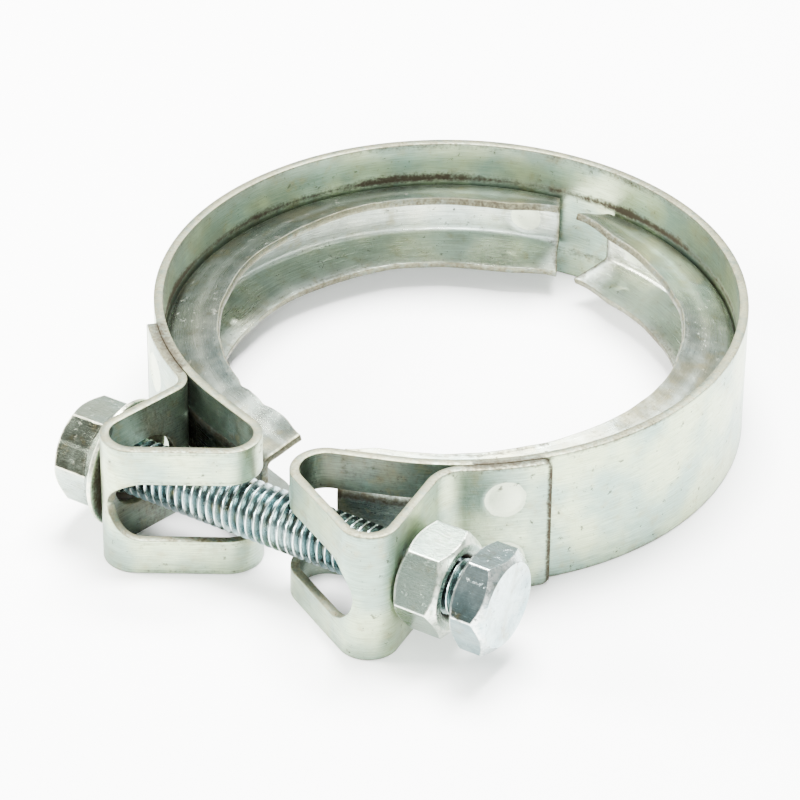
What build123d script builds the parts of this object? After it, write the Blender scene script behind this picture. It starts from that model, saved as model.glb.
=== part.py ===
from build123d import *
from math import asin, atan2, cos, degrees, radians, sin, sqrt, tan
import os

# V-band flange clamp. Millimetres and degrees.
# The ring's axis is Z, its centre is the origin, and z = 0 is the middle of the band's width.
# The lugs and their gap are on the -Y side, and the bolt's head is towards +X.

# Driving dimensions: band
band_radius = 41.5             # outside of the round strip
band_thickness = 1.35
band_width = 20.0
split_gap = 0.12               # kerf at the back, where the two rigid halves turn on each other

# Driving dimensions: lugs, each one folded from the band's own end. Bend radii are at mid-thickness.
lug_angle = 20.0               # from -Y to where the strip leaves the circle
lug_reach = {"left": 2.7, "right": 3.2}     # middle of the gap to the inner bend
inner_bend = 4.2
outer_bend = {"left": 4.0, "right": 3.6}
front_slope = {"left": 31.0, "right": 28.5}  # the front face, from X
wall_reach = {"left": 20.8, "right": 21.9}   # middle of the gap to mid-wall, at the bolt
wall_lean = {"left": 14.0, "right": 6.0}
root_bend = {"left": 3.0, "right": 5.0}
tab_angle = {"left": 48.0, "right": 49.6}    # from -Y to the tab's free end
tab_corner = 1.2
weld_mark = 5.6                # diameter of a spot weld's electrode mark
weld_depth = 0.15
weld_angle = 41.0              # from -Y to the tab's welds
weld_spread = 4.9              # a weld above and below the middle of the band
slot_room = {"left": 1.2, "right": 1.8}      # how much taller the slot is than the thread
slot_drop = {"left": 0.0, "right": 0.7}     # how far the slot's middle is below the band's
slot_past_bend = {"left": 3.2, "right": 1.8}  # how far the slot runs into the outer bend
slot_root_run = 19.5           # inner bend to the slot's other end, which lies under the tab

# Driving dimensions: V retainers
retainer_thickness = 1.1
retainer_drop = 0.8            # how far the channel's middle is below the band's
channel_height = 8.6           # outside of the web
flange_slope = 14.0
flange_depth = 9.0             # outside of the round strip to the flanges' tips
channel_bend = 1.3
retainer_straight_angle = 17.0  # from -Y to where the front end runs straight
retainer_front = {"left": 5.0, "right": 6.6}   # middle of the gap to the web's front end
retainer_back = {"left": 5.3, "right": 3.7}    # the same, at the back
end_skew = 22.0                # how far the end cuts lean from the radius

# Driving dimensions: bolt and nuts, M8
thread_diameter = 8.0
bolt_length = 60.0
bolt_offset = 4.9              # outside of the round strip to the bolt's axis
bolt_tip_chamfer = 1.0
across_flats = 13.0
head_height = 5.3
head_gap = 1.9                 # bare thread between the lock nut and the head
lock_nut_height = 6.5
flange_nut_height = 8.0
flange_diameter = 17.9
flange_rim = 0.8
flange_cone_height = 1.9
corner_chamfer = 0.9           # how far a hexagon's corners are turned down, along its axis
hex_turn = {"bolt": 52.0, "lock_nut": 3.0, "flange_nut": 9.0}

# Driving dimensions: clearances
thread_clearance = 0.05        # radial, a nut's bore over the shank
wall_hole_clearance = 0.75     # radial, the walls' holes over the shank
hole_swing = 0.7               # the left hole is this much longer each way, as its lug swings
seat_clearance = 0.15          # a nut's face to its lug

# Worked out from the values above
mid_radius = band_radius - band_thickness / 2
inner_radius = band_radius - band_thickness
tab_radius = band_radius + band_thickness / 2
shank_radius = thread_diameter / 2
hole_radius = shank_radius + wall_hole_clearance
bolt_y = -(band_radius + bolt_offset)
flange_tip_radius = band_radius - flange_depth
through = 2 * band_width

os.makedirs("parts", exist_ok=True)


def finish(piece, node):
    piece.part.label = node
    export_step(piece.part, f"parts/{node}.step")


def polar(radius, angle):
    """A point at this angle from -Y, towards +X."""
    return (radius * sin(radians(angle)), -radius * cos(radians(angle)))


def towards(point, direction, distance):
    return (point[0] + direction[0] * distance, point[1] + direction[1] * distance)


def dot(a, b):
    return a[0] * b[0] + a[1] * b[1]


def meet(normal_a, reach_a, normal_b, reach_b):
    """The point at reach_a along normal_a and at reach_b along normal_b."""
    scale = normal_a[0] * normal_b[1] - normal_a[1] * normal_b[0]
    x = (reach_a * normal_b[1] - reach_b * normal_a[1]) / scale
    y = (reach_b * normal_a[0] - reach_a * normal_b[0]) / scale
    return (x, y)


def bend(centre, radius, from_normal, to_normal):
    """Start, middle and end of a bend, given the outward directions of its two walls."""
    half = (from_normal[0] + to_normal[0], from_normal[1] + to_normal[1])
    size = sqrt(dot(half, half))
    middle = (half[0] / size, half[1] / size)
    return [towards(centre, way, radius) for way in (from_normal, middle, to_normal)]


def lug_route(name):
    """The strip's bends round one lug, as drawn for the +X side, and the outer bend's centre."""
    slope = radians(front_slope[name])
    lean = radians(wall_lean[name])
    root_radius = root_bend[name]
    ring_normal = (-sin(radians(lug_angle)), cos(radians(lug_angle)))
    front_normal = (-sin(slope), -cos(slope))
    wall_normal = (cos(lean), sin(lean))

    inner_x = lug_reach[name] + band_thickness / 2 + inner_bend
    inner_y = (inner_x * sin(radians(lug_angle)) - mid_radius - inner_bend) / cos(radians(lug_angle))
    inner_centre = (inner_x, inner_y)
    inner = bend(inner_centre, inner_bend, ring_normal, front_normal)

    wall_point = (wall_reach[name], bolt_y)
    outer_centre = meet(
        front_normal, dot(inner[2], front_normal) - outer_bend[name],
        wall_normal, dot(wall_point, wall_normal) - outer_bend[name],
    )
    outer = bend(outer_centre, outer_bend[name], front_normal, wall_normal)

    # The root bend touches the bolt wall on one side and the tab's circle on the other.
    along = (-wall_normal[1], wall_normal[0])
    base = towards(wall_point, wall_normal, root_radius)
    reach = tab_radius + root_radius
    step = -dot(base, along) - sqrt(dot(base, along) ** 2 - dot(base, base) + reach ** 2)
    root_centre = towards(base, along, step)
    tab_normal = (-root_centre[0] / reach, -root_centre[1] / reach)
    root = bend(root_centre, root_radius, (-wall_normal[0], -wall_normal[1]), tab_normal)
    return inner, outer, root, outer_centre


def make_band_half(name, side):
    inner, outer, root, outer_centre = lug_route(name)
    tab_start = degrees(atan2(root[2][0], -root[2][1]))
    back = 180 - degrees(asin(split_gap / 2 / mid_radius))

    def place(points):
        return [(side * x, y) for x, y in points]

    def arc(radius, start, end):
        return place([polar(radius, angle) for angle in (start, (start + end) / 2, end)])

    with BuildPart() as half:
        # The tab, with its free corners rounded, before the band joins it
        with BuildSketch(Plane.XY.offset(-band_width / 2)):
            with BuildLine():
                ThreePointArc(*arc(tab_radius, tab_start, tab_angle[name]))
            trace(line_width=band_thickness)
        extrude(amount=band_width)
        free_end = polar(tab_radius, tab_angle[name])
        corners = half.edges().filter_by(Axis.Z, reverse=True).filter_by(GeomType.LINE)
        corners = corners.sort_by_distance((side * free_end[0], free_end[1], 0))[:2]
        fillet(corners, radius=tab_corner)

        # The strip: round the back, out to the lug, and back to the tab
        with BuildSketch(Plane.XY.offset(-band_width / 2)):
            with BuildLine():
                round_part = ThreePointArc(*arc(mid_radius, back, lug_angle))
                inner_arc = ThreePointArc(*place(inner))
                Line(round_part @ 1, inner_arc @ 0)
                outer_arc = ThreePointArc(*place(outer))
                Line(inner_arc @ 1, outer_arc @ 0)
                root_arc = ThreePointArc(*place(root))
                Line(outer_arc @ 1, root_arc @ 0)
            trace(line_width=band_thickness)
        extrude(amount=band_width)

        # The slot that the bolt passes through: in the wall nearest the ring and its inner bend,
        # then in the front face and into the outer bend. Each is cut square to its own wall.
        lug = radians(lug_angle)
        root_plane = Plane(
            origin=inner_arc.arc_center,
            x_dir=(side * cos(lug), sin(lug), 0),
            z_dir=(-side * sin(lug), cos(lug), 0),
        )
        slope = radians(front_slope[name])
        front_plane = Plane(
            origin=(side * outer_centre[0], outer_centre[1], 0),
            x_dir=(side * cos(slope), -sin(slope), 0),
            z_dir=(-side * sin(slope), -cos(slope), 0),
        )
        ends = (Align.MAX, Align.CENTER)
        slot_height = thread_diameter + slot_room[name]
        root_drop = -root_plane.y_dir.Z * slot_drop[name]
        front_drop = -front_plane.y_dir.Z * slot_drop[name]
        leave_run = (round_part @ 1 - root_plane.origin).dot(root_plane.x_dir)
        with BuildSketch(root_plane):
            with Locations((leave_run + 0.1, root_drop)):
                Rectangle(2 * wall_reach[name], slot_height, align=ends)
        extrude(amount=inner_bend + band_thickness, mode=Mode.SUBTRACT)
        with BuildSketch(front_plane):
            with Locations((slot_past_bend[name], front_drop)):
                SlotOverall(2 * wall_reach[name], slot_height, align=ends)
        extrude(amount=outer_bend[name] + band_thickness, mode=Mode.SUBTRACT)

        # The slot's last stretch is in the ring alone, and the tab covers it
        with BuildPart(mode=Mode.PRIVATE) as ring_slot:
            with BuildSketch(root_plane):
                with Locations((slot_root_run, root_drop)):
                    SlotOverall(2 * wall_reach[name], slot_height, align=ends)
            extrude(amount=3 * inner_bend)
            Cylinder(band_radius, band_width, mode=Mode.INTERSECT)
        add(ring_slot.part, mode=Mode.SUBTRACT)

        # The bolt's hole in the outer wall
        swing = hole_swing if name == "left" else 0
        wall_start = (side * (wall_reach[name] - inner_bend), bolt_y, 0)
        with BuildSketch(Plane(origin=wall_start, x_dir=(0, 1, 0), z_dir=(side, 0, 0))):
            SlotCenterToCenter(2 * swing, 2 * hole_radius) if swing else Circle(hole_radius)
        extrude(amount=2 * inner_bend, mode=Mode.SUBTRACT)

        # The spot welds' marks on the tab
        mark_x, mark_y = polar(1, weld_angle)
        mark_way = Vector(side * mark_x, mark_y, 0)
        mark_depth = tab_radius + band_thickness / 2 - weld_depth
        with BuildSketch(Plane(origin=mark_way * mark_depth, x_dir=(0, 0, 1), z_dir=mark_way)):
            with Locations((weld_spread, 0), (-weld_spread, 0)):
                Circle(weld_mark / 2)
        extrude(amount=band_thickness, mode=Mode.SUBTRACT)
    finish(half, f"band_{name}")


def make_retainer(name, side):
    start = retainer_straight_angle
    run_x, run_y = polar(1, start)
    profile_start = (0, 0, -retainer_drop)
    profile_plane = Plane(origin=profile_start, x_dir=(run_x, run_y, 0), z_dir=(run_y, -run_x, 0))
    web = inner_radius - retainer_thickness / 2
    half_web = channel_height / 2 - retainer_thickness / 2
    tip = flange_tip_radius - retainer_thickness
    half_tip = half_web + (web - tip) * tan(radians(flange_slope))
    with BuildPart() as retainer:
        with BuildSketch(profile_plane) as profile:
            with BuildLine():
                FilletPolyline(
                    (tip, -half_tip), (web, -half_web), (web, half_web), (tip, half_tip),
                    radius=channel_bend,
                )
            trace(line_width=retainer_thickness)
            with Locations((flange_tip_radius, 0)):
                inside = (Align.MAX, Align.CENTER)
                Rectangle(2 * retainer_thickness, through, align=inside, mode=Mode.SUBTRACT)
        revolve(axis=Axis.Z, revolution_arc=180 - start)
        extrude(profile.sketch, amount=band_radius * tan(radians(start)))

        # Both ends are sheared on planes that lean from the radius.
        skew = radians(end_skew)
        front_way = (cos(skew), sin(skew), 0)
        front_cut = Plane(origin=(retainer_front[name], -inner_radius, 0), z_dir=front_way)
        split(bisect_by=front_cut, keep=Keep.TOP)
        back_cut = Plane(origin=(retainer_back[name], inner_radius, 0), z_dir=(cos(skew), -sin(skew), 0))
        split(bisect_by=back_cut, keep=Keep.TOP)
        if side < 0:
            mirror(about=Plane.YZ, mode=Mode.REPLACE)
    finish(retainer, f"retainer_{name}")


def bolt_plane(x, way):
    """A plane square to the bolt at x, facing along +X or -X."""
    return Plane(origin=(x, bolt_y, 0), x_dir=(0, 1, 0), z_dir=(way, 0, 0))


def hexagon(plane, height, turn, both_ends):
    """A hexagon with its corners turned down at the far end, or at both."""
    corner = across_flats / sqrt(3)
    flat = across_flats / 2
    near_edge = [(flat, 0), (corner, -corner_chamfer)] if both_ends else [(corner, 0)]
    with BuildPart() as blank:
        with BuildSketch(plane):
            RegularPolygon(flat, 6, major_radius=False, rotation=turn)
        extrude(amount=height)
        side_plane = Plane(origin=plane.origin, x_dir=plane.x_dir, z_dir=plane.z_dir.cross(plane.x_dir))
        with BuildSketch(side_plane):
            with BuildLine():
                Polyline(
                    (0, 0), *near_edge, (corner, corner_chamfer - height),
                    (flat, -height), (0, -height), close=True,
                )
            make_face()
        revolve(axis=Axis(plane.origin, plane.z_dir), mode=Mode.INTERSECT)
    return blank.part


for name, side in (("left", -1), ("right", 1)):
    make_band_half(name, side)
    make_retainer(name, side)

# A nut bears on the round of the outer bend, its lug's furthest point along the bolt.
seat = {name: lug_route(name)[3][0] + outer_bend[name] + band_thickness / 2 for name in outer_bend}
lock_nut_x = seat["right"] + seat_clearance
flange_nut_x = -seat["left"] - seat_clearance
head_x = lock_nut_x + lock_nut_height + head_gap

head = hexagon(bolt_plane(head_x, 1), head_height, hex_turn["bolt"], both_ends=True)
with BuildPart() as bolt:
    add(head)
    with BuildSketch(bolt_plane(head_x, -1)):
        Circle(shank_radius)
    extrude(amount=bolt_length)
    chamfer(bolt.edges().filter_by(GeomType.CIRCLE).sort_by(Axis.X)[0], length=bolt_tip_chamfer)
finish(bolt, "clamp_bolt")

blank = hexagon(bolt_plane(lock_nut_x, 1), lock_nut_height, hex_turn["lock_nut"], both_ends=True)
with BuildPart() as lock_nut:
    add(blank)
    with BuildSketch(bolt_plane(lock_nut_x, 1)):
        Circle(shank_radius + thread_clearance)
    extrude(amount=lock_nut_height, mode=Mode.SUBTRACT)
finish(lock_nut, "lock_nut")

blank = hexagon(bolt_plane(flange_nut_x, -1), flange_nut_height, hex_turn["flange_nut"], both_ends=False)
with BuildPart() as flange_nut:
    add(blank)
    with BuildSketch(bolt_plane(flange_nut_x, -1)):
        Circle(flange_diameter / 2)
    extrude(amount=flange_rim)
    with BuildSketch(bolt_plane(flange_nut_x - flange_rim, -1)):
        Circle(flange_diameter / 2)
    with BuildSketch(bolt_plane(flange_nut_x - flange_rim - flange_cone_height, -1)):
        Circle(across_flats / 2)
    loft()
    with BuildSketch(bolt_plane(flange_nut_x, -1)):
        Circle(shank_radius + thread_clearance)
    extrude(amount=flange_nut_height, mode=Mode.SUBTRACT)
finish(flange_nut, "flange_nut")
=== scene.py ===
import math
import bpy
import bmesh
from mathutils import Matrix, Vector, noise


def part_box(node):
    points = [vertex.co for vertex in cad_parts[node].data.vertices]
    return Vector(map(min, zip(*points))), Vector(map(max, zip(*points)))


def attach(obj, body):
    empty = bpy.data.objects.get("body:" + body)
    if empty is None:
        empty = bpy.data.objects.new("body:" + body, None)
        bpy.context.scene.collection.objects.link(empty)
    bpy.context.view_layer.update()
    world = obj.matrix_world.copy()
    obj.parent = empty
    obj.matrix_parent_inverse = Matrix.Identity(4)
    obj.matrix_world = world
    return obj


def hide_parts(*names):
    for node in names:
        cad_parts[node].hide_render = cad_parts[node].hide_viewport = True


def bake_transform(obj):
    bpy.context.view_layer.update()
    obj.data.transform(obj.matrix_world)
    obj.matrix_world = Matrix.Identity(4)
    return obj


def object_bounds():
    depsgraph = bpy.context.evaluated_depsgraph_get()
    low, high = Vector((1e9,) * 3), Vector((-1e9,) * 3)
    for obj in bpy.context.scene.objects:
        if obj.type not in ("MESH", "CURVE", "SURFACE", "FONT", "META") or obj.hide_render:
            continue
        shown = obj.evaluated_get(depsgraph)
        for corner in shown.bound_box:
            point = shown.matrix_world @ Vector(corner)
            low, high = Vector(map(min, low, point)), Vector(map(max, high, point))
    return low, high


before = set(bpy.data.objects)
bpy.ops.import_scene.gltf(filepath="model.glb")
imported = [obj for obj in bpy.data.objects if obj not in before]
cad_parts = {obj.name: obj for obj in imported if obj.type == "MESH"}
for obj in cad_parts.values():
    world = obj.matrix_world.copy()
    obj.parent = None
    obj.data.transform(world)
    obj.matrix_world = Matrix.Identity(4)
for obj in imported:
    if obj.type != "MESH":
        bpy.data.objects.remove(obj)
cadLow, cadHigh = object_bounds()
print("frame loaded")

mm = 0.001
scene = bpy.context.scene


# ---- shared helpers: points, runs of strip, meshes, nodes

def polar(radius, angle):
    # angle in degrees, from -Y towards +X
    turn = math.radians(angle)
    return Vector((radius * math.sin(turn), -radius * math.cos(turn)))


def heading(angle):
    return Vector((math.cos(angle), math.sin(angle)))


def leftOf(angle):
    return Vector((-math.sin(angle), math.cos(angle)))


def advance(point, angle, curve, length):
    # along a straight or an arc; curve is 1/radius, positive to the left
    if abs(curve) < 1e-9:
        return point + heading(angle) * length, angle
    centre = point + leftOf(angle) / curve
    newAngle = angle + curve * length
    return centre - leftOf(newAngle) / curve, newAngle


def makeRoute(start, angle, runs):
    # runs are (length, curve) pairs; returns where(s) -> point, angle and the s where each run starts
    marks, point, total = [], start.copy(), 0.0
    for length, curve in runs:
        marks.append((total, point, angle, curve))
        point, angle = advance(point, angle, curve, length)
        total += length

    def where(s):
        chosen = marks[0]
        for mark in marks:
            if s >= mark[0]:
                chosen = mark
        return advance(chosen[1], chosen[2], chosen[3], s - chosen[0])

    return where, [mark[0] for mark in marks] + [total]


def solveFor(value, goal, low, high):
    # the s between low and high where value(s) meets goal
    rising = value(high) > value(low)
    for _ in range(40):
        middle = (low + high) / 2
        if (value(middle) < goal) == rising:
            low = middle
        else:
            high = middle
    return (low + high) / 2


def spread(low, high, step):
    # evenly spaced values from low up to, but without, high
    count = max(1, round(abs(high - low) / step))
    return [low + (high - low) * i / count for i in range(count)]


def ease(value, low, high):
    t = min(1.0, max(0.0, (value - low) / (high - low)))
    return t * t * (3 - 2 * t)


def bell(value, centre, width):
    return math.exp(-((value - centre) / width) ** 2)


def buildMesh(name, points, faces, values):
    # values: attribute name -> one number or vector for each point
    mesh = bpy.data.meshes.new(name)
    mesh.from_pydata([Vector(p) * mm for p in points], [], faces)
    for key, numbers in values.items():
        isVector = len(numbers) > 0 and hasattr(numbers[0], "__len__")
        layer = mesh.attributes.new(key, "FLOAT_VECTOR" if isVector else "FLOAT", "POINT")
        flat = [n for row in numbers for n in row] if isVector else list(numbers)
        layer.data.foreach_set("vector" if isVector else "value", flat)
    obj = bpy.data.objects.new(name, mesh)
    scene.collection.objects.link(obj)
    return obj


def tidyMesh(obj):
    # merges the points that fell together and turns every face outwards
    work = bmesh.new()
    work.from_mesh(obj.data)
    bmesh.ops.remove_doubles(work, verts=work.verts, dist=2e-6)
    bmesh.ops.dissolve_degenerate(work, edges=work.edges, dist=1e-6)
    bmesh.ops.recalc_face_normals(work, faces=work.faces)
    work.to_mesh(obj.data)
    work.free()


def roundEdges(obj, width, angle):
    # the sheared and machined edges aren't knife sharp
    bevel = obj.modifiers.new("edgeRound", "BEVEL")
    bevel.width = width * mm
    bevel.segments = 2
    bevel.limit_method = "ANGLE"
    bevel.angle_limit = math.radians(angle)
    bevel.use_clamp_overlap = False
    bevel.miter_outer = "MITER_ARC"
    graph = bpy.context.evaluated_depsgraph_get()
    evaluated = obj.evaluated_get(graph)
    rounded = bpy.data.meshes.new_from_object(evaluated, preserve_all_data_layers=True, depsgraph=graph)
    obj.modifiers.clear()
    old = obj.data
    obj.data = rounded
    rounded.name = obj.name
    bpy.data.meshes.remove(old)


def smoothShade(obj, angle):
    obj.data.polygons.foreach_set("use_smooth", [True] * len(obj.data.polygons))
    obj.data.set_sharp_from_angle(angle=math.radians(angle))


# ---- finishes

plating = {
    "pale": (0.40, 0.47, 0.30), "cool": (0.24, 0.34, 0.28), "straw": (0.27, 0.24, 0.12),
    "tarnish": (0.100, 0.138, 0.130), "warmer": (1.5, 1.1, 0.8),
    "bare": (0.21, 0.21, 0.135), "dirtAndShade": (0.036, 0.029, 0.017), "spot": (0.60, 0.66, 0.50),
    "speck": (0.16, 0.16, 0.12),
}


class Nodes:
    # a short way to write node trees
    def __init__(self, name):
        self.material = bpy.data.materials.new(name)
        self.material.use_nodes = True
        self.tree = self.material.node_tree
        self.tree.nodes.clear()

    def add(self, kind, inputs=None, **settings):
        node = self.tree.nodes.new(kind)
        for key, value in settings.items():
            setattr(node, key, value)
        for key, value in (inputs or {}).items():
            if isinstance(value, bpy.types.NodeSocket):
                self.tree.links.new(value, node.inputs[key])
            else:
                node.inputs[key].default_value = value
        return node

    def mixColor(self, share, a, b, how="MIX"):
        node = self.add("ShaderNodeMix", {0: share}, data_type="RGBA", blend_type=how)
        for index, value in ((6, a), (7, b)):
            if isinstance(value, bpy.types.NodeSocket):
                self.tree.links.new(value, node.inputs[index])
            else:
                node.inputs[index].default_value = (*value, 1.0)
        return node.outputs[2]

    def math(self, how, a, b=0.0, clamp=False):
        return self.add("ShaderNodeMath", {0: a, 1: b}, operation=how, use_clamp=clamp).outputs[0]

    def band(self, value, low, high, outLow=0.0, outHigh=1.0):
        node = self.add("ShaderNodeMapRange", {0: value, 1: low, 2: high, 3: outLow, 4: outHigh},
                        interpolation_type="SMOOTHSTEP")
        return node.outputs[0]

    def noise(self, where, scale, detail=4.0, rough=0.55, stretch=None):
        if stretch:
            where = self.add("ShaderNodeMapping", {0: where, 3: stretch}).outputs[0]
        inputs = {"Vector": where, "Scale": scale, "Detail": detail, "Roughness": rough}
        return self.add("ShaderNodeTexNoise", inputs).outputs[0]

    def shifted(self, value, source, amount, clamp=False):
        # value moved up and down by a noise that is centred on one half
        moved = self.math("MULTIPLY", self.math("SUBTRACT", source, 0.5), amount)
        return self.math("ADD", value, moved, clamp)

    def bump(self, height, strength, distance, under=None):
        inputs = {"Strength": strength, "Distance": distance, "Height": height}
        if under:
            inputs["Normal"] = under
        return self.add("ShaderNodeBump", inputs).outputs[0]

    def value(self, name, index=2):
        return self.add("ShaderNodeAttribute", attribute_name=name, attribute_type="GEOMETRY").outputs[index]


def platedSteel(name, pale=plating["pale"], cool=plating["cool"], bare=plating["bare"], dark=plating["tarnish"],
                grain=(0.09, 2.4, 1.0), rough=(0.30, 0.46), scratchDepth=1.0, wavy=1.0, mottle=0.45):
    # zinc plating: soft clouds of tint, fine rolling grain, specks, worn rims that on the bolt and nuts also carry
    # painted highlights, duller tarnished sides that also carry painted shade and painted reflection tones, and
    # caked dirt that also carries painted shade
    n = Nodes(name)
    place = n.add("ShaderNodeTexCoord").outputs["Object"]
    flat = n.value("flat", 1)
    rim, dirtAndShade, tarnishAndShade, spot = n.value("rim"), n.value("dirtAndShade"), n.value("tarnishAndShade"), n.value("spot")

    clouds = n.noise(place, 95.0, 3.0, 0.5)
    blotch = n.noise(place, 420.0, 4.0, 0.6)
    speckle = n.noise(place, 2600.0, 2.0, 0.5)
    crumbs = n.noise(place, 900.0, 5.0, 0.7)
    lines = n.noise(flat, 3.0, 5.0, 0.7, stretch=grain)
    fineLines = n.noise(flat, 9.0, 3.0, 0.6, stretch=(grain[0] * 0.6, grain[1] * 1.6, grain[2]))
    scuffs = n.noise(flat, 1.3, 6.0, 0.75, stretch=(0.5, 0.9, 1.0))

    bright = n.mixColor(n.band(clouds, 0.38, 0.62), pale, cool)
    warmDark = tuple(c * w for c, w in zip(dark, plating["warmer"]))
    tarnish = n.mixColor(n.band(clouds, 0.40, 0.66), dark, warmDark)
    # tarnish and painted shade come and go in clouds
    share = n.shifted(tarnishAndShade, blotch, mottle * 1.3)
    share = n.shifted(share, clouds, mottle * 1.6, clamp=True)
    share = n.math("MULTIPLY", share, n.band(tarnishAndShade, 0.0, 0.12))
    color = n.mixColor(share, bright, tarnish)
    color = n.mixColor(n.band(blotch, 0.52, 0.76, 0.0, 0.45), color, plating["straw"])
    grainLight = n.band(lines, 0.30, 0.72, 1.15, 0.60)
    grainGrey = n.add("ShaderNodeCombineColor", {0: grainLight, 1: grainLight, 2: grainLight}).outputs[0]
    color = n.mixColor(0.8, color, grainGrey, "MULTIPLY")
    color = n.mixColor(n.band(speckle, 0.66, 0.74, 0.0, 0.50), color, plating["speck"])
    color = n.mixColor(n.band(speckle, 0.30, 0.25, 0.0, 0.40), color, plating["bare"])
    # an electrode mark is paler, with a ragged edge
    mark = n.band(n.shifted(spot, crumbs, 0.5), 0.42, 0.58, 0.0, 0.85)
    color = n.mixColor(mark, color, plating["spot"])
    # painted highlight: the rim value brings in the bare colour, which is worn bare metal on the strip's edges and
    # painted highlights on the edges and thread crests of the bolt and nuts
    wearAndGlint = n.math("MULTIPLY", n.band(rim, 0.25, 0.95), n.band(crumbs, 0.30, 0.62), clamp=True)
    color = n.mixColor(wearAndGlint, color, bare)
    # dirt and painted shade sit where the mesh says, broken up by noise, with a few stray marks elsewhere
    cakedAndShade = n.math("ADD", n.math("MULTIPLY", dirtAndShade, 1.2), n.math("MULTIPLY", crumbs, 0.9))
    cakedAndShade = n.band(n.shifted(cakedAndShade, speckle, 0.7), 0.66, 1.50)
    stray = n.band(n.math("MULTIPLY", scuffs, n.band(crumbs, 0.35, 0.75)), 0.38, 0.50, 0.0, 0.7)
    cakedAndShade = n.math("MAXIMUM", cakedAndShade, stray)
    color = n.mixColor(cakedAndShade, color, plating["dirtAndShade"])

    sheen = n.math("ADD", n.math("MULTIPLY", clouds, 0.4), n.math("MULTIPLY", lines, 0.6))
    gloss = n.band(sheen, 0.35, 0.68, rough[0], rough[1])
    for source, amount in ((cakedAndShade, 0.35), (mark, 0.12), (wearAndGlint, 0.08)):
        gloss = n.math("ADD", gloss, n.math("MULTIPLY", source, amount))
    metal = n.math("SUBTRACT", 1.0, n.math("MULTIPLY", cakedAndShade, 0.25))

    # scratches, pits, the slow waves of rolled strip, and the crust of the dirt and marks
    relief = n.math("ADD", n.math("MULTIPLY", lines, 0.55), n.math("MULTIPLY", fineLines, 0.45))
    crust = n.math("MULTIPLY", n.math("MAXIMUM", cakedAndShade, mark), crumbs)
    normal = n.bump(relief, 0.45 * scratchDepth, 0.00004)
    normal = n.bump(speckle, 0.35, 0.00005, normal)
    normal = n.bump(n.noise(place, 150.0, 2.0, 0.4), 0.5 * wavy, 0.0005, normal)
    normal = n.bump(crust, 0.5, 0.00006, normal)
    inputs = {"Base Color": color, "Roughness": gloss, "Metallic": metal, "Normal": normal}
    n.add("ShaderNodeOutputMaterial", {0: n.add("ShaderNodeBsdfPrincipled", inputs).outputs[0]})
    return n.material


# ---- the band: one strip from the left tab round the back to the right tab, folded into a lug at each end

band = {
    "radius": 41.5, "thickness": 1.35, "width": 20.0, "lugAngle": 20.0, "innerBend": 4.2, "boltY": -46.4,
    "tabCorner": 1.2, "weldMark": 5.6, "weldDepth": 0.15, "weldAngle": 41.0, "weldSpread": 4.9,
    "slotRun": 19.5, "holeRadius": 4.75, "edgeRound": 0.16,
    "rows": 20, "fan": 12, "step": 0.42, "tabStep": 0.36,   # how fine the mesh is
}
lugs = {
    "left": {"reach": 2.7, "outerBend": 4.0, "slope": 31.0, "wall": 20.8, "lean": 14.0, "rootBend": 3.0,
             "tabEnd": 48.0, "slotHeight": 9.2, "slotDrop": 0.0, "slotPast": 3.2, "swing": 0.7},
    "right": {"reach": 3.2, "outerBend": 3.6, "slope": 28.5, "wall": 21.9, "lean": 6.0, "rootBend": 5.0,
              "tabEnd": 49.6, "slotHeight": 9.8, "slotDrop": 0.7, "slotPast": 1.8, "swing": 0.0},
}
midRadius = band["radius"] - band["thickness"] / 2
innerRadius = band["radius"] - band["thickness"]
tabRadius = band["radius"] + band["thickness"] / 2


def meet(normalA, reachA, normalB, reachB):
    scale = normalA.x * normalB.y - normalA.y * normalB.x
    x = (reachA * normalB.y - reachB * normalA.y) / scale
    y = (reachB * normalA.x - reachA * normalB.x) / scale
    return Vector((x, y))


def lugRuns(lug):
    # the strip from the middle of the back to the tab's free end, drawn for the +X side
    ring, slope, lean = (math.radians(v) for v in (band["lugAngle"], lug["slope"], lug["lean"]))
    ringNormal = Vector((-math.sin(ring), math.cos(ring)))
    frontNormal = Vector((-math.sin(slope), -math.cos(slope)))
    wallNormal = Vector((math.cos(lean), math.sin(lean)))
    innerBend, outerBend, rootBend = band["innerBend"], lug["outerBend"], lug["rootBend"]

    innerX = lug["reach"] + band["thickness"] / 2 + innerBend
    inner = Vector((innerX, (innerX * math.sin(ring) - midRadius - innerBend) / math.cos(ring)))
    wallPoint = Vector((lug["wall"], band["boltY"]))
    outer = meet(frontNormal, (inner + frontNormal * innerBend).dot(frontNormal) - outerBend,
                 wallNormal, wallPoint.dot(wallNormal) - outerBend)
    along = Vector((-wallNormal.y, wallNormal.x))
    base = wallPoint + wallNormal * rootBend
    reach = tabRadius + rootBend
    step = -base.dot(along) - math.sqrt(base.dot(along) ** 2 - base.dot(base) + reach ** 2)
    root = base + along * step
    tabStart = math.atan2(root.x, -root.y)

    wallAngle = math.radians(90) + lean
    runs = [
        (midRadius * (math.pi - ring), -1 / midRadius),
        ((polar(midRadius, band["lugAngle"]) - inner - ringNormal * innerBend).length, 0.0),
        (innerBend * (math.pi - ring - slope), 1 / innerBend),
        ((inner + frontNormal * innerBend - outer - frontNormal * outerBend).length, 0.0),
        (outerBend * (wallAngle + slope), 1 / outerBend),
        ((outer + wallNormal * outerBend - root + wallNormal * rootBend).length, 0.0),
        (rootBend * (wallAngle - tabStart), -1 / rootBend),
        (tabRadius * (math.radians(lug["tabEnd"]) - tabStart), 1 / tabRadius),
    ]
    return makeRoute(Vector((0, midRadius)), 0.0, runs)


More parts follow.
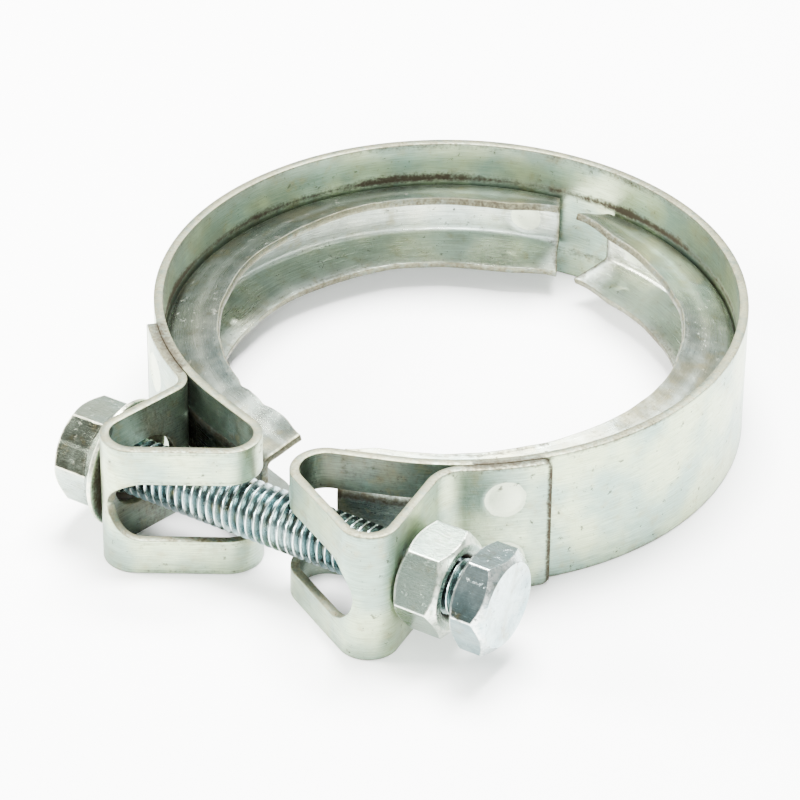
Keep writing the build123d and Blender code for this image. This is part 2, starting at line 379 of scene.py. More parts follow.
def halfColumns(lug):
    # columns across the strip, from the back to the tab's end. Each is
    # (s at the middle, s at the edges, middle z low, middle z high, half width)
    where, marks = lugRuns(lug)
    ringEnd, innerStart, frontStart, outerStart, wallStart = marks[1:6]
    tabStart, tabEnd = marks[-2:]
    half, fan = band["width"] / 2, band["fan"]
    slotRadius, drop = lug["slotHeight"] / 2, -lug["slotDrop"]
    slope = math.radians(lug["slope"])
    # the slot's far end lies under the tab, a set way along from the inner bend
    straight = innerStart - ringEnd
    slotFrom = ringEnd - midRadius * math.asin((band["slotRun"] - straight) / midRadius)

    frontWay = Vector((math.cos(slope), -math.sin(slope)))
    outerPoint = where(outerStart)[0]

    def pastBend(s):
        return (where(s)[0] - outerPoint).dot(frontWay)

    def height(s):
        return where(s)[0].y

    columns = []
    slotNear = slotFrom - slotRadius * 1.2
    for low, high, step in ((0.0, slotNear, 1.0), (slotNear, slotFrom, 0.5)):
        for s in spread(low, high, step):
            columns.append((s, s, 0.0, 0.0, half))
    # the slot opens in a half round
    for i in range(fan):
        turn = math.pi / 2 * i / fan
        apart = slotRadius * math.sin(turn)
        s, even = slotFrom + slotRadius * (1 - math.cos(turn)), slotFrom + slotRadius * i / fan
        columns.append((s, even, drop - apart, drop + apart, half))
    closeAt = lug["slotPast"] - slotRadius
    slotClose = solveFor(pastBend, closeAt, frontStart - 3, wallStart)
    for s in spread(slotFrom + slotRadius, slotClose, band["step"]):
        columns.append((s, s, drop - slotRadius, drop + slotRadius, half))
    for i in range(fan + 1):
        turn = math.pi / 2 * i / fan
        apart = slotRadius * math.cos(turn)
        s = solveFor(pastBend, closeAt + slotRadius * math.sin(turn), slotClose - 1, wallStart)
        even = solveFor(pastBend, closeAt + slotRadius * i / fan, slotClose - 1, wallStart)
        columns.append((s, even, drop - apart, drop + apart, half))
    slotEnd = columns[-1][0]

    # the bolt's hole, its middle line back at z = 0
    reach = band["holeRadius"] + lug["swing"]
    searchFrom = outerStart + 3.2
    holeFrom = solveFor(height, band["boltY"] - reach, searchFrom, wallStart + 6)
    for s in spread(slotEnd, holeFrom, band["step"])[1:]:
        middle = drop * (1 - ease(s, slotEnd, holeFrom))
        columns.append((s, s, middle, middle, half))
    for i in range(2 * fan + 1):
        turn = math.pi * i / (2 * fan)
        beyond = (i > fan) - (i < fan)
        y = band["boltY"] - band["holeRadius"] * math.cos(turn) + lug["swing"] * beyond
        evenY = band["boltY"] - reach + 2 * reach * i / (2 * fan)
        apart = band["holeRadius"] * math.sin(turn)
        s, even = solveFor(height, y, searchFrom, tabStart), solveFor(height, evenY, searchFrom, tabStart)
        columns.append((s, even, -apart, apart, half))
    holeEnd = columns[-1][0]
    for s in spread(holeEnd, tabEnd - band["tabCorner"], band["tabStep"])[1:]:
        columns.append((s, s, 0.0, 0.0, half))
    for i in range(7):
        turn = math.pi / 2 * i / 6
        s = tabEnd - band["tabCorner"] * (1 - math.sin(turn))
        columns.append((s, s, 0.0, 0.0, half - band["tabCorner"] * (1 - math.cos(turn))))
    return where, marks, columns


def newTraits():
    # what the finish reads at each point of a piece
    return {"flat": [], "rim": [], "dirtAndShade": [], "tarnishAndShade": [], "spot": []}


def addTraits(traits, flat, rim=0.0, dirtAndShade=0.0, tarnishAndShade=0.0, spot=0.0):
    for key, value in zip(traits, (flat, rim, dirtAndShade, tarnishAndShade, spot)):
        traits[key].append(value)


def makeBand():
    rows = band["rows"]
    shares = [0.0, 0.035] + [0.035 + 0.93 * (i + 1) / rows for i in range(rows)] + [1.0]
    halfThick = band["thickness"] / 2
    sides = {}
    for name, side in (("left", -1), ("right", 1)):
        where, marks, columns = halfColumns(lugs[name])
        sides[name] = [(side, where, marks, lugs[name], column) for column in columns]
    allColumns = list(reversed(sides["left"]))[:-1] + sides["right"]
    points, faces, traits = [], [], newTraits()

    def addPoint(side, where, marks, lug, s, z, layer, edgeGap):
        point, angle = where(s)
        offset = halfThick * layer
        onTab, onRing, inLug = s > marks[-2], s < marks[1], s > marks[2] - 1
        fromEnd = marks[-1] - s
        # how far under the tab this stretch of the ring lies
        pastTab = s - midRadius * math.radians(180 - lug["tabEnd"])
        weldAt = tabRadius * math.radians(lug["tabEnd"] - band["weldAngle"])
        fromWeld = math.hypot(fromEnd - weldAt, abs(z) - band["weldSpread"]) if onTab else 9.0
        if layer < 0:
            # the outside of the tab: an electrode mark with a low rim
            sunk = 1 - ease(fromWeld, band["weldMark"] / 2 - 0.45, band["weldMark"] / 2 + 0.1)
            offset += band["weldDepth"] * sunk
            offset -= 0.05 * bell(fromWeld, band["weldMark"] / 2 + 0.35, 0.4)
        # rolled strip is never quite flat
        offset += 0.05 * layer * (noise.noise(Vector((side * s * 0.09, z * 0.12, 3.1))) - 0.6)
        spot = point + leftOf(angle) * offset
        points.append((side * spot.x, spot.y, z))

        patch = ease(noise.noise(Vector((side * s * 0.055, 5.0, 0.0))), -0.35, 0.30)
        dirtAndShade = tarnishAndShade = 0.0
        if layer < 0 and onRing:
            # inside: tarnished, with dirt packed along the seams over and under the retainer
            reach = 5.0 + 1.5 * patch * (1 - 0.6 * bell(s, 0.0, 40.0))
            # painted reflection and shade: the middle of the wall at the back is kept light and the wall is painted
            # darker toward the front
            far = ease(s, 25.0, 105.0)
            seam = ease(z, 3.2, 3.9) * (1 - ease(z, 4.0, reach))
            seam += 0.7 * ease(-z, 4.9, 5.6) * (1 - ease(-z, 5.6, 8.0))
            dirtAndShade = seam * (0.52 + 0.34 * patch + (0.16 * far if side < 0 else 0.0))
            dirtAndShade += 0.08 * ease(z, 3.0, 4.0) * (1 - ease(z, 4.0, 8.0))
            dirtAndShade += (0.26 + 0.18 * patch) * ease(z, 8.6, 9.5)
            tarnishAndShade = 0.42 * far + 0.24 * ease(z, 7.6, 9.5) + 0.12 * bell(z, 4.2, 1.0) + 0.08 * (1 - patch)
            # the bare stretch at the back, between the retainers
            dirtAndShade += 0.24 * bell(s, 6.5, 1.4) + 0.10 * bell(s, 0.0, 6.0) * ease(abs(z), 6, 9.5)
        elif layer > 0 and inLug:
            # inside the folded lug: painted shade over the whole inner face, a little darker toward the bottom, and
            # a darker patch partway along the wall
            tarnishAndShade = 0.86 - 0.12 * ease(z, 3, 9)
            dirtAndShade = 0.16 + 0.26 * bell(s, marks[5] + 7, 4.0)
        elif layer < 0 and not onTab and s > marks[2]:
            tarnishAndShade = 0.14 + 0.12 * ease(-z, 2, 9)
            dirtAndShade = 0.10 * bell(s, marks[4], 3.5) + 0.12 * ease(-z, 8.2, 9.8)
        elif onTab:
            tarnishAndShade = 0.20
            dirtAndShade = 0.85 * (1 - ease(fromEnd, 0.25, 1.1)) + 0.22 * bell(s, marks[-2] - 1, 2.2)
        else:
            # outside of the ring: pale, dirty only against the tab's end and by the lower rim
            dirtAndShade = 0.80 * bell(pastTab, 0.2, 0.75) + 0.20 * ease(-z, 8.8, 9.9)
            tarnishAndShade = 0.04
            if pastTab > 0.8:
                tarnishAndShade, dirtAndShade = 0.88, 0.26
        rim = 1.0 if edgeGap < 0.01 else max(0.0, 0.75 - edgeGap / 0.30)
        # painted shade: a thin dark line just inside each edge, on both faces, outlines the edges
        dirtAndShade = max(dirtAndShade, 0.44 * bell(edgeGap, 0.45, 0.28) * (0.55 + 0.45 * patch))
        if edgeGap < 0.01:
            tarnishAndShade, dirtAndShade = 0.85, 0.28 + 0.18 * patch
        dirtAndShade += 0.30 * bell(fromWeld, 2.95, 0.3)
        if layer > 0 and (onTab or (onRing and 0.8 < pastTab < marks[-1] - marks[-2] - 1.5)):
            # a dark seam where the tab lies on the ring
            rim, dirtAndShade = 0.0, 0.80
        weldTone = 1 - ease(fromWeld, 2.0, 3.6) if layer < 0 else 0.0
        addTraits(traits, (side * s, z, layer * 7.0), rim, dirtAndShade, tarnishAndShade, weldTone)
        return len(points) - 1

    grid = []   # for each column: layer -> (list of point numbers below the middle, list above it)
    for side, where, marks, lug, (sMid, sEdge, zLow, zHigh, half) in allColumns:
        entry = {}
        isOpen = zHigh - zLow > 0.001
        for layer in (1, -1):
            lower, upper = [], []
            for share in shares:
                s = sMid + (sEdge - sMid) * share
                for numbers, zMid, sign in ((lower, zLow, -1), (upper, zHigh, 1)):
                    if share == 0.0 and not isOpen and numbers is upper:
                        numbers.append(lower[0])
                        continue
                    z = zMid + (sign * half - zMid) * share
                    gap = abs(sign * half - zMid) * (1 - share)
                    if isOpen:
                        gap = min(gap, abs(z - zMid))
                    numbers.append(addPoint(side, where, marks, lug, s, z, layer, gap))
            entry[layer] = (lower, upper)
        grid.append(entry)

    last = len(shares) - 1
    for before, after in zip(grid, grid[1:]):
        for part in (0, 1):
            for layer in (1, -1):
                a, b = before[layer][part], after[layer][part]
                for k in range(last):
                    faces.append([a[k], b[k], b[k + 1], a[k + 1]])
            # the long edges, and the slot's edges where the middle is open
            for k in (0, last):
                quad = [before[1][part][k], after[1][part][k], after[-1][part][k], before[-1][part][k]]
                closedHere = k == 0 and before[1][0][0] == before[1][1][0] and after[1][0][0] == after[1][1][0]
                if not closedHere:
                    faces.append(quad)
    for entry in (grid[0], grid[-1]):
        for part in (0, 1):
            for k in range(last):
                faces.append([entry[1][part][k], entry[1][part][k + 1], entry[-1][part][k + 1], entry[-1][part][k]])
    obj = buildMesh("bandStrip", points, faces, traits)
    tidyMesh(obj)
    roundEdges(obj, band["edgeRound"], 55)
    smoothShade(obj, 40)
    obj.data.materials.clear()
    obj.data.materials.append(platedSteel("platedStrip"))
    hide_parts("band_left", "band_right")
    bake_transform(obj)
    return obj


bandStrip = makeBand()
print("band made:", len(bandStrip.data.vertices), "points")


# ---- the two V retainers spot welded inside the band

retainer = {
    "thickness": 1.1, "drop": 0.8, "height": 8.6, "slope": 14.0, "tipRadius": 32.5, "bend": 1.3,
    "straightFrom": 17.0, "endSkew": 22.0, "edgeRound": 0.18, "wave": 0.42, "endTrim": 1.7,
    "front": {"left": 5.0, "right": 6.6}, "back": {"left": 5.3, "right": 3.7},
    "length": 110.0, "weldRun": 112, "grainRun": 118.0,
    "welds": (0.045, 0.50, 0.93), "beads": (0.07, 0.52, 0.86),   # shares of the length, from the back end
    "ringSteps": 150, "frontSteps": 14,
}


def makeRetainer(name, side):
    thick = retainer["thickness"]
    web = innerRadius - thick / 2
    halfWeb = retainer["height"] / 2 - thick / 2
    slope = math.radians(retainer["slope"])
    halfTip = halfWeb + (web - retainer["tipRadius"]) * math.tan(slope)
    corner = math.radians(90) - slope
    trim = retainer["bend"] * math.tan(corner / 2)
    flange = (web - retainer["tipRadius"]) / math.cos(slope) - trim
    runs = [
        (flange, 0.0), (retainer["bend"] * corner, 1 / retainer["bend"]), (2 * (halfWeb - trim), 0.0),
        (retainer["bend"] * corner, 1 / retainer["bend"]), (flange, 0.0),
    ]
    where, marks = makeRoute(Vector((retainer["tipRadius"], -halfTip)), slope, runs)
    across = [0.0, 0.22] + spread(0.22, marks[1], 0.36)[1:]
    for a, b, step in zip(marks[1:-2], marks[2:-1], (0.22, 0.4, 0.22)):
        across += spread(a, b, step)
    across += spread(marks[-2], marks[-1] - 0.22, 0.36) + [marks[-1] - 0.22, marks[-1]]

    skew = math.radians(retainer["endSkew"])
    straight = math.radians(retainer["straightFrom"])
    front, back = retainer["front"][name], retainer["back"][name]
    total, length = marks[-1], retainer["length"]
    ringSteps, frontSteps = retainer["ringSteps"], retainer["frontSteps"]
    points, faces, traits = [], [], newTraits()

    def place(radius, z, along, v, layer):
        # along runs from 0 at the back end to 1 at the front end
        backAngle = math.pi - skew - math.asin((back * math.cos(skew) - innerRadius * math.sin(skew)) / radius)
        reach = radius * math.sin(straight - skew) - front * math.cos(skew) + innerRadius * math.sin(skew)
        reach /= math.cos(straight - skew)
        # the flanges were trimmed by hand: narrower at both ends, and their edges wander
        upper = z > 0
        tip = ease(web - radius, 1.0, web - retainer["tipRadius"])
        drift = noise.noise(Vector((side * along * 7 + 20, 0.6 if upper else 7.7, side * 2.0)))
        drift += 0.45 * noise.noise(Vector((side * along * 23 + 3, 2.6 if upper else 9.7, side * 2.0)))
        trim = retainer["endTrim"] * (1 - ease(along * length, 0.0, 9.0))
        trim += 1.2 * (1 - ease((1 - along) * length, 0.0, 7.0))
        if side > 0 and upper:
            trim -= 0.9 * bell(along, 0.72, 0.16)
        if side < 0 and upper:
            # creases where the channel was rolled too tight
            trim += 0.35 * bell(along, 0.845, 0.010) + 0.28 * bell(along, 0.90, 0.010)
        drift *= 1 - 0.75 * ease(along, 0.86, 0.95)
        radius += (retainer["wave"] * max(drift, -0.6) + trim) * tip
        sway = noise.noise(Vector((side * along * 8.3 + 8, 4.6 if upper else 1.7, side * 3.0)))
        lift = 0.30 * (1 - 0.7 * ease(along, 0.84, 0.95)) * sway * tip
        if side < 0 and upper:
            lift -= (0.20 * bell(along, 0.845, 0.012) + 0.14 * bell(along, 0.90, 0.012)) * tip
        share = ringSteps / (ringSteps + frontSteps)
        if along <= share:
            angle = backAngle + (straight - backAngle) * along / share
            x, y = radius * math.sin(angle), -radius * math.cos(angle)
        else:
            run = reach * (along - share) / (1 - share)
            x = radius * math.sin(straight) - run * math.cos(straight)
            y = -radius * math.cos(straight) - run * math.sin(straight)
        fromWeld = 9.0
        if layer > 0:
            # electrode marks on the web near each end, and small weld beads on the lower flange
            for at in retainer["welds"]:
                fromWeld = min(fromWeld, math.hypot((along - at) * retainer["weldRun"], v - total / 2))
            sink = 0.14 * (1 - ease(fromWeld, 1.9, 2.5)) - 0.06 * bell(fromWeld, 2.8, 0.35)
            if abs(v - total / 2) < 4:
                x, y = x * (1 + sink / radius), y * (1 + sink / radius)
            for at in retainer["beads"]:
                bead = math.hypot((along - at) * retainer["weldRun"], v - 2.6)
                if not upper:
                    lift += 0.35 * (1 - ease(bead, 0.0, 0.9))
                fromWeld = min(fromWeld, bead + 2.0)
        points.append((side * x, y, z + lift - retainer["drop"]))
        gap = min(v, total - v, along * length, (1 - along) * length)
        nearFold = bell(v, marks[1] + 0.9, 0.8) + bell(v, marks[-3] + 0.9, 0.8)
        patch = ease(noise.noise(Vector((side * along * 7.0, v * 0.15, 4.0))), -0.3, 0.4)
        if layer > 0:
            # a dark line just inside each edge, here and on the outer face below, is part dirt and part painted
            # shade outlining the edge
            dirtAndShade = 0.22 * nearFold + 0.50 * (0.5 + 0.5 * patch) * bell(gap, 0.5, 0.45) + 0.10 * patch
            # painted reflection: the lower flange is kept bright and the web behind it creamier, with a painted
            # highlight along the lower fold
            tarnishAndShade = 0.02 + 0.20 * patch + 0.18 * ease(v, marks[1], marks[1] + 2.5)
            tarnishAndShade -= 0.30 * bell(v, marks[1] + 1.0, 0.9)
        else:
            dirtAndShade = 0.70 * bell(v, marks[-3] + 0.3, 0.8) + 0.50 * (0.4 + 0.6 * patch) * bell(gap, 0.5, 0.5)
            tarnishAndShade = 0.74 + 0.26 * patch - 0.40 * bell(v, total - 3.2, 0.8)
        tarnishAndShade += 0.16 * ease(along, 0.84, 0.97)
        if gap < 0.01:
            tarnishAndShade, dirtAndShade = 0.90, 0.40 + 0.20 * patch
        rim = 1.0 if gap < 0.01 else max(0.0, 0.8 - gap / 0.5)
        flat = (along * retainer["grainRun"] + side * 300, v, layer * 5.0)
        addTraits(traits, flat, rim, dirtAndShade, tarnishAndShade, 1 - ease(fromWeld, 1.6, 2.9))
        return len(points) - 1

    grid = []
    for j in range(ringSteps + frontSteps + 1):
        along = j / (ringSteps + frontSteps)
        entry = {}
        for layer in (1, -1):
            column = []
            for v in across:
                point, angle = where(v)
                spot = point + leftOf(angle) * layer * thick / 2
                column.append(place(spot.x, spot.y, along, v, layer))
            entry[layer] = column
        grid.append(entry)
    last = len(across) - 1
    for before, after in zip(grid, grid[1:]):
        for layer in (1, -1):
            for k in range(last):
                faces.append([before[layer][k], after[layer][k], after[layer][k + 1], before[layer][k + 1]])
        for k in (0, last):
            faces.append([before[1][k], after[1][k], after[-1][k], before[-1][k]])
    for entry in (grid[0], grid[-1]):
        for k in range(last):
            faces.append([entry[1][k], entry[1][k + 1], entry[-1][k + 1], entry[-1][k]])
    obj = buildMesh(f"{name}Retainer", points, faces, traits)
    tidyMesh(obj)
    roundEdges(obj, retainer["edgeRound"], 50)
    smoothShade(obj, 40)
    return obj


channelSteel = platedSteel("platedChannel", pale=(0.54, 0.57, 0.46), cool=(0.40, 0.47, 0.43),
                           grain=(0.05, 1.6, 1.0), rough=(0.24, 0.38), mottle=0.7, scratchDepth=1.6)
for name, side in (("left", -1), ("right", 1)):
    channel = makeRetainer(name, side)
    channel.data.materials.clear()
    channel.data.materials.append(channelSteel)
    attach(channel, f"{name}_half")
    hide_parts(f"retainer_{name}")
print("retainers made")


# ---- the bolt: M8 coarse thread up to the head

# paintedSideShade gives each of the six hexagon sides its own painted shade, standing in for the light each side
# reflects
bolt = {
    "diameter": 8.0, "pitch": 1.25, "rootDepth": 0.72, "tip": 2.95, "stepsPerTurn": 48,
    "flats": 13.0, "headHeight": 5.3, "turn": 52.0, "paintedSideShade": (0.10, 0.72, 0.28, 0.3, 0.3, 0.3),
}
lockNut = {"height": 6.5, "turn": 3.0, "bore": 4.05, "paintedSideShade": (0.3, 0.16, 0.42, 0.30, 0.3, 0.3)}
flangeNut = {
    "height": 8.0, "turn": 9.0, "rim": 0.8, "diameter": 17.9, "cone": 1.9,
    "paintedSideShade": (0.30, 0.3, 0.3, 0.3, 0.05, 0.95),
}

boltLow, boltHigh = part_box("clamp_bolt")
lockFrom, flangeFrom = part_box("lock_nut")[0].x / mm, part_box("flange_nut")[1].x / mm
tipAt, headEnd = boltLow.x / mm, boltHigh.x / mm
headFrom = headEnd - bolt["headHeight"]


def threadRadius(share):
    # share of a pitch from the root's middle: root, flank, rolled crest with a faint dip, flank
    share = share % 1.0
    share = min(share, 1 - share)
    outer = bolt["diameter"] / 2
    root = outer - bolt["rootDepth"]
    rise = ease(share, 0.10, 0.40)
    linear = min(1.0, max(0.0, (share - 0.09) / 0.31))
    radius = root + (outer - root) * (0.35 * rise + 0.65 * linear)
    return radius - 0.07 * bell(share, 0.5, 0.045)


def aroundBolt(x, radius, turn):
    # turn in degrees from +Y towards +Z
    angle = math.radians(turn)
    return (x, band["boltY"] + radius * math.cos(angle), radius * math.sin(angle))


def threadSheet(low, high, endRadius, widen=0.0, cone=None):
    # a helical strip from low to high; past its ends it is gathered on a ring of endRadius
    steps, pitch = bolt["stepsPerTurn"], bolt["pitch"]
    profile = [0.0, 0.10, 0.17, 0.25, 0.33, 0.40, 0.45, 0.5, 0.55, 0.60, 0.67, 0.75, 0.83, 0.90]
    turns = int((high - low) / pitch) + 4
    points, faces, traits = [], [], newTraits()
    count = len(profile)
    for k in range(turns * steps + 1):
        for share in profile:
            x = low - 2 * pitch + pitch * (k / steps + share)
            turn = 360.0 * k / steps + 360.0 * (low - 2 * pitch) / pitch
            radius = threadRadius(share) + widen
            if cone:
                radius = cone(x, radius)
            if x <= low or x >= high:
                x, radius = min(max(x, low), high), endRadius
            points.append(aroundBolt(x, radius, turn))
            # painted highlight on the thread crests; painted shade with some dirt in the roots
            crest = 1 - abs(share - 0.5) / 0.5
            addTraits(traits, (turn / 360 * 25.0, x, 0.0), rim=0.95 * ease(crest, 0.82, 0.96),
                      dirtAndShade=0.30 * (1 - ease(crest, 0.0, 0.34)), tarnishAndShade=0.22 + 0.60 * (1 - ease(crest, 0.1, 0.8)))

    def number(k, p):
        return k * count + p if p < count else (k + steps) * count

    for k in range((turns - 1) * steps):
        for p in range(count):
            faces.append([number(k, p), number(k, p + 1), number(k + 1, p + 1), number(k + 1, p)])
    return points, faces, traits


def hexRadius(angle, flats, rounding):
    # from the axis to the hexagon's side, its corners at multiples of 60 degrees and a little rounded
    away = abs((angle + 30) % 60 - 30)
    tip = (flats / 2 - rounding) / math.cos(math.radians(30))
    edge = math.degrees(math.atan2(rounding / 2, tip + rounding * math.cos(math.radians(30))))
    if away < edge:
        a = math.radians(away)
        return tip * math.cos(a) + math.sqrt(rounding ** 2 - (tip * math.sin(a)) ** 2)
    return flats / 2 / math.cos(math.radians(30 - away))


def hexShell(turn, columnOf, closed, paintedSideShade):
    # columnOf(hexagon radius) gives one column as (x, radius, rim, dirtAndShade, tarnishAndShade), where rim also
    # paints edge highlights and the last two also paint shade; closed joins its last point to its first.
    # paintedSideShade gives each of the six sides a painted shade, standing in for the light it reflects
    points, faces, traits = [], [], newTraits()
    offsets = (-25, -20, -15, -10, -6, -3.4, -1.8, -0.8, 0, 0.8, 1.8, 3.4, 6, 10, 15, 20, 25, 30)
    angles = [60 * k + off for k in range(6) for off in offsets]
    columns = [columnOf(hexRadius(angle, bolt["flats"], 0.30)) for angle in angles]
    count = len(columns[0])
    for angle, column in zip(angles, columns):
        nearCorner = bell(abs((angle + 30) % 60 - 30), 0, 1.5)
        # a side lies between two corners, and its tone changes over the corner
        here, share = int(angle % 360 // 60), ease((angle % 60 + 30) % 60 - 30, -2.0, 2.0)
        corner = abs((angle + 30) % 60 - 30) < 2.01
        if corner:
            after = round(angle / 60) % 6
            paintedTone = paintedSideShade[after - 1] + (paintedSideShade[after] - paintedSideShade[after - 1]) * share
        else:
            paintedTone = paintedSideShade[here]
        for x, radius, rim, dirtAndShade, tarnishAndShade in column:
            points.append(aroundBolt(x, radius, turn + angle))
            onSide = radius > bolt["flats"] / 2 - 0.01 and tarnishAndShade is None
            flat = (x, angle / 60 * 7.5, radius * 0.7)
            # painted highlight: the hexagon's corners get a high rim value, standing in for the light on a rounded
            # corner, broken up by the wear noise
            rimAndGlint = max(rim, 0.95 * nearCorner if onSide else 0)
            addTraits(traits, flat, rimAndGlint, dirtAndShade, paintedTone if tarnishAndShade is None else tarnishAndShade)
    total = len(columns)
    for c in range(total):
        n = (c + 1) % total
        for p in range(count if closed else count - 1):
            q = (p + 1) % count
            faces.append([c * count + p, c * count + q, n * count + q, n * count + p])
    return points, faces, traits


def joined(first, second):
    base = len(first[0])
    faces = first[1] + [[i + base for i in face] for face in second[1]]
    return first[0] + second[0], faces, {key: first[2][key] + second[2][key] for key in first[2]}


def turnedDown(hexR, faceRadius, drop):
    # how far along the axis the corner chamfer reaches at this hexagon radius
    corner = bolt["flats"] / math.sqrt(3)
    return drop * max(0.0, hexR - faceRadius) / (corner - faceRadius)


def sideRows(start, end, hexR, startWearAndGlint=0.85):
    # the rim values at both ends of a side paint highlights along the chamfer edges, with some wear
    rows = [(start, hexR, startWearAndGlint, 0.0, None)]
    for share in (0.04, 0.10, 0.2, 0.35, 0.5, 0.65, 0.8, 0.90, 0.96):
        rows.append((start + (end - start) * share, hexR, 0.0 if 0.05 < share < 0.95 else 0.45, 0.0, None))
    rows.append((end, hexR, 0.85, 0.0, None))
    return rows


def finishPiece(obj, material, bodyName, nodeName):
    tidyMesh(obj)
    smoothShade(obj, 32)
    obj.data.materials.clear()
    obj.data.materials.append(material)
    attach(obj, bodyName)
    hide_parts(nodeName)
    return obj


def headColumn(hexR):
    face, top = 6.0, 5.9
    start = headFrom + turnedDown(hexR, face, 1.0)
    end = headEnd - turnedDown(hexR, top, 1.35)
    # rim values paint highlights along the chamfer edges; the underside is given painted shade toward the shank
    return [
        (headFrom, 3.0, 0, 0.5, 0.5), (headFrom, 5.6, 0.1, 0.2, 0.4), (headFrom, face, 0.8, 0.0, 0.2),
        *sideRows(start, end, hexR),
        (headEnd, top, 0.5, 0.0, 0.05), (headEnd, top - 0.35, 0.2, 0.0, 0.05), (headEnd, 4.5, 0.0, 0.0, 0.26),
        (headEnd, 2.2, 0.0, 0.0, 0.24), (headEnd, 0.0, 0.0, 0.0, 0.22),
    ]


def lockColumn(hexR):
    face, bore = 6.1, lockNut["bore"]
    end = lockFrom + lockNut["height"]
    drop = turnedDown(hexR, face, 1.0)
    # rim values paint highlights along the edges; the countersink and the bore are painted dark as shade
    return [
        (lockFrom + 0.5, bore, 0.2, 0.4, 0.5), (lockFrom, 4.5, 0.8, 0.0, 0.4), (lockFrom, face, 0.8, 0.3, 0.4),
        *sideRows(lockFrom + drop, end - drop, hexR),
        (end, face, 0.9, 0.0, 0.05), (end, face - 0.35, 0.3, 0.0, 0.10), (end, 5.3, 0.05, 0.05, 0.22),
        (end, 5.0, 0.6, 0.0, 0.1), (end - 0.1, 4.85, 0.5, 0.1, 0.3), (end - 0.75, bore + 0.1, 0.0, 0.95, 1.0),
        (end - 1.2, bore, 0.0, 0.95, 1.0),
    ]


def flangeColumn(hexR):
    start, end = flangeFrom, flangeFrom - flangeNut["height"]
    face, wide, rim = 6.1, flangeNut["diameter"] / 2, flangeNut["rim"]
    drop = turnedDown(hexR, face, 1.0)
    # the cone of the flange runs out where it meets each side
    meetX = start - rim - flangeNut["cone"] * (wide - hexR) / (wide - bolt["flats"] / 2)
    # painted shade: the bearing face of the flange, toward the lug, is painted dark, darkest by the bore; a painted
    # highlight runs along the flange's rim
    column = [
        (start, 4.25, 0.0, 1.0, 1.0), (start, 4.9, 0.0, 0.9, 1.0), (start, 7.4, 0.0, 0.72, 0.9),
        (start, wide - 0.45, 0.0, 0.62, 0.5), (start - 0.15, wide - 0.05, 0.9, 0.30, 0.1),
        (start - rim + 0.22, wide, 0.95, 0.05, 0.0), (start - rim, wide - 0.16, 0.9, 0.0, 0.0),
    ]
    for share in (0.12, 0.3, 0.5, 0.7, 0.86):
        column.append((start - rim + (meetX - start + rim) * share, wide - 0.16 + (hexR - wide + 0.16) * share,
                       0.3 * (1 - share), 0.10 * share, 0.25 + 0.35 * share))
    return [
        *column, (meetX, hexR, 0.0, 0.42, 0.8), *sideRows(meetX - 0.2, end + drop, hexR, startWearAndGlint=0.0),
        (end, face, 0.85, 0.0, 0.1), (end, face - 0.35, 0.25, 0.0, 0.2), (end, 5.2, 0.05, 0.05, 0.3),
        (end, 4.75, 0.9, 0.0, 0.2), (end + 0.5, 4.2, 0.2, 0.5, 0.6),
    ]


def shankCone(x, radius):
    return min(radius, bolt["tip"] + max(0.0, x - tipAt))


# bare here is a bright glint colour for the painted highlights on edges and thread crests
boltSteel = platedSteel("platedBolt", pale=(0.46, 0.57, 0.56), cool=(0.20, 0.34, 0.37),
                        bare=(0.80, 0.84, 0.80), dark=(0.035, 0.055, 0.060), grain=(0.12, 2.2, 0.6),
                        rough=(0.16, 0.30), wavy=0.3, mottle=0.8)
lockSteel = platedSteel("platedLockNut", pale=(0.40, 0.50, 0.40), cool=(0.28, 0.40, 0.35),
                        bare=(0.78, 0.81, 0.70), grain=(0.12, 1.3, 0.6), rough=(0.22, 0.34), wavy=0.4,
                        mottle=0.35)
flangeSteel = platedSteel("platedFlangeNut", pale=(0.48, 0.56, 0.44), cool=(0.33, 0.43, 0.37),
                          bare=(0.70, 0.70, 0.52), dark=(0.020, 0.024, 0.018), grain=(0.10, 1.5, 0.6),
                          rough=(0.20, 0.34), wavy=1.4, mottle=0.4)

shank = threadSheet(tipAt, headFrom + 0.6, bolt["tip"], cone=shankCone)
head = hexShell(bolt["turn"], headColumn, closed=False, paintedSideShade=bolt["paintedSideShade"])
boltPiece = buildMesh("clampBolt", *joined(shank, head))


def capEnd(obj, x):
    # closes the open ring of the thread at its tip with one flat face
    work = bmesh.new()
    work.from_mesh(obj.data)
    bmesh.ops.remove_doubles(work, verts=work.verts, dist=2e-6)
    ring = [e for e in work.edges
            if len(e.link_faces) == 1 and all(abs(v.co.x - x * mm) < 1e-5 for v in e.verts)]
    bmesh.ops.contextual_create(work, geom=ring)
    work.to_mesh(obj.data)
    work.free()


capEnd(boltPiece, tipAt)
finishPiece(boltPiece, boltSteel, "bolt", "clamp_bolt")
print("bolt made")

lockShell = hexShell(lockNut["turn"], lockColumn, closed=True, paintedSideShade=lockNut["paintedSideShade"])
lockPiece = buildMesh("lockNut", *lockShell)
finishPiece(lockPiece, lockSteel, "lock_nut", "lock_nut")

flangeShell = hexShell(180 - flangeNut["turn"], flangeColumn, closed=False, paintedSideShade=flangeNut["paintedSideShade"])
flangeThread = threadSheet(flangeFrom - flangeNut["height"] + 0.5, flangeFrom, 4.2, widen=0.05)
flangePiece = buildMesh("flangeNut", *joined(flangeShell, flangeThread))
finishPiece(flangePiece, flangeSteel, "flange_nut", "flange_nut")
print("nuts made")


# ---- studio: pale floor, soft lights, camera

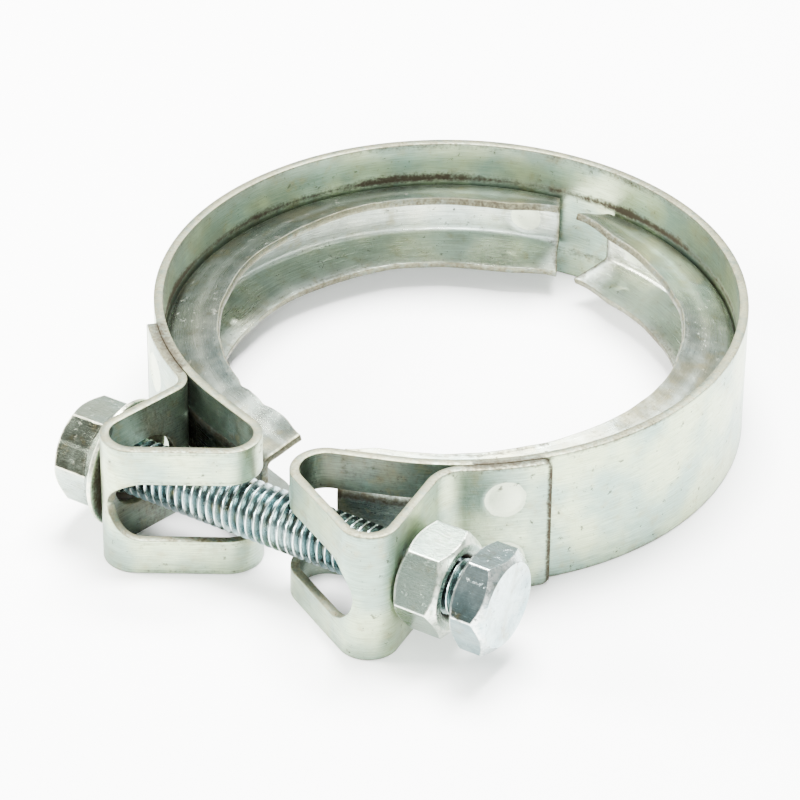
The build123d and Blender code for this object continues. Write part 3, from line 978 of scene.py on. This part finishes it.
studio = {
    "floor": (0.97, 0.97, 0.97), "floorGap": 0.00005, "floorHalf": 3,
    "world": (0.97, 1.0, 0.96), "worldStrength": 1.0,
    "azimuth": 31.5, "elevation": 34.45, "roll": 0.57, "lens": 199.0,
    "away": 15.0, "across": 0.1703, "up": 0.1615,   # in ring radii
    # name, place, size, power, color
    "lights": (
        ("overhead", (-0.05, 0.15, 0.55), (0.35, 0.35), 33.0, (1, 1, 1)),
        ("leftSoft", (-0.50, -0.25, 0.30), (0.25, 0.25), 15.0, (1.0, 0.99, 0.95)),
        ("frontSoft", (0.25, -0.55, 0.30), (0.3, 0.15), 9.0, (0.97, 1.0, 0.99)),
    ),
}

floorMesh = bpy.data.meshes.new("floor")
floorHalf = studio["floorHalf"]
corners = [(x * floorHalf, y * floorHalf) for x, y in ((-1, -1), (1, -1), (1, 1), (-1, 1))]
floorMesh.from_pydata([(x, y, cadLow.z - studio["floorGap"]) for x, y in corners], [], [(0, 1, 2, 3)])
floor = bpy.data.objects.new("floor", floorMesh)
scene.collection.objects.link(floor)
f = Nodes("paleFloor")
floorShader = f.add("ShaderNodeBsdfPrincipled", {"Base Color": (*studio["floor"], 1), "Roughness": 0.8})
f.add("ShaderNodeOutputMaterial", {0: floorShader.outputs[0]})
floorMesh.materials.append(f.material)

world = bpy.data.worlds.new("studio")
scene.world = world
world.use_nodes = True
worldNodes = world.node_tree.nodes
background = worldNodes.get("Background") or worldNodes.new("ShaderNodeBackground")
background.inputs[0].default_value = (*studio["world"], 1)
background.inputs[1].default_value = studio["worldStrength"]


def areaLight(name, place, size, power, color):
    light = bpy.data.lights.new(name, "AREA")
    light.shape = "RECTANGLE"
    light.size, light.size_y = size
    light.energy = power
    light.color = color
    obj = bpy.data.objects.new(name, light)
    obj.location = place
    obj.rotation_euler = (-Vector(place)).to_track_quat("-Z", "Y").to_euler()   # aimed at the middle
    scene.collection.objects.link(obj)


for light in studio["lights"]:
    areaLight(*light)

camera = bpy.data.cameras.new("camera")
camera.lens = studio["lens"]
camera.sensor_width = 36
camera.clip_start, camera.clip_end = 0.01, 10
cameraObject = bpy.data.objects.new("camera", camera)
scene.collection.objects.link(cameraObject)
tilt, roll = math.radians(studio["elevation"]), math.radians(studio["roll"])
backward = Vector((0, -math.cos(tilt), math.sin(tilt)))
sideways, upward = Vector((1, 0, 0)), Vector((0, math.sin(tilt), math.cos(tilt)))
sideways, upward = (math.cos(roll) * sideways + math.sin(roll) * upward,
                    math.cos(roll) * upward - math.sin(roll) * sideways)
spin = Matrix.Rotation(math.radians(studio["azimuth"]), 3, "Z")
place = (backward * studio["away"] - sideways * studio["across"] - upward * studio["up"]) * band["radius"] * mm
axes = Matrix((spin @ sideways, spin @ upward, spin @ backward)).transposed()
cameraObject.matrix_world = Matrix.Translation(spin @ place) @ axes.to_4x4()
scene.camera = cameraObject
print("studio set")
